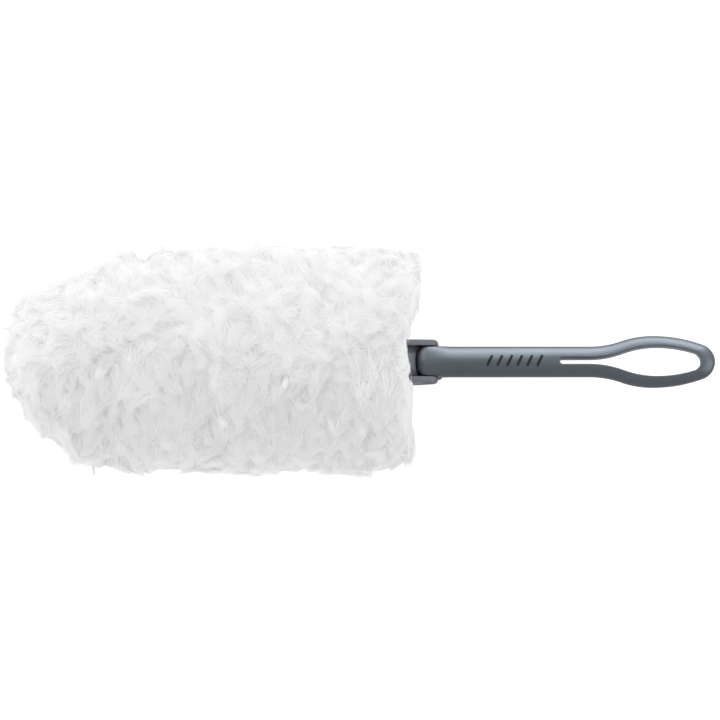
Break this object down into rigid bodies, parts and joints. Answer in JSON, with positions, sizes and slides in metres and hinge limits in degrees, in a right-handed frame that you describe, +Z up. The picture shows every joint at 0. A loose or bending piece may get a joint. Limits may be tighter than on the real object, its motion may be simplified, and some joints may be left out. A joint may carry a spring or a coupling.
{
  "type": "fluffy duster",
  "caption": "Hand duster with a fluffy white fibre head that pulls off a two-pronged fork and a slim grey folding handle with a teardrop hanging loop.",
  "frame": {"origin": "middle of the outer box on the plane of the table that the fluffy head lies on", "axes": "+X along the duster from the fluffy tip to the hanging loop, Y along the hinge pin, +Z up from the table"},
  "size_m": [0.3524, 0.1166, 0.0978],
  "materials": {
    "handle_plastic": "satin moulded grey plastic",
    "fork_plastic": "satin moulded dark grey plastic",
    "pin_plastic": "smooth dark grey plastic",
    "nonwoven": "white spunbond sheet with point bonds",
    "fibre": "soft white polyester fibre tow"
  },
  "bodies": {
    "fork": {"fork": "fork_plastic", "hinge_pin": "pin_plastic"},
    "handle": {"handle": "handle_plastic"},
    "refill": {"sleeve_sheet_upper": "nonwoven", "sleeve_sheet_lower": "nonwoven", "tow_upper_inner": "fibre", "tow_upper_outer": "fibre", "tow_lower_inner": "fibre", "tow_lower_outer": "fibre"}
  },
  "joints": [
    {"name": "handle_fold", "type": "hinge", "parent": "fork", "child": "handle", "pos_m": [0.0335, 0, 0.0465], "axis": [0, -1, 0], "range_deg": [0, 90]},
    {"name": "refill_slide", "type": "slide", "parent": "fork", "child": "refill", "axis": [-1, 0, 0], "range_m": [0, 0.15]}
  ]
}
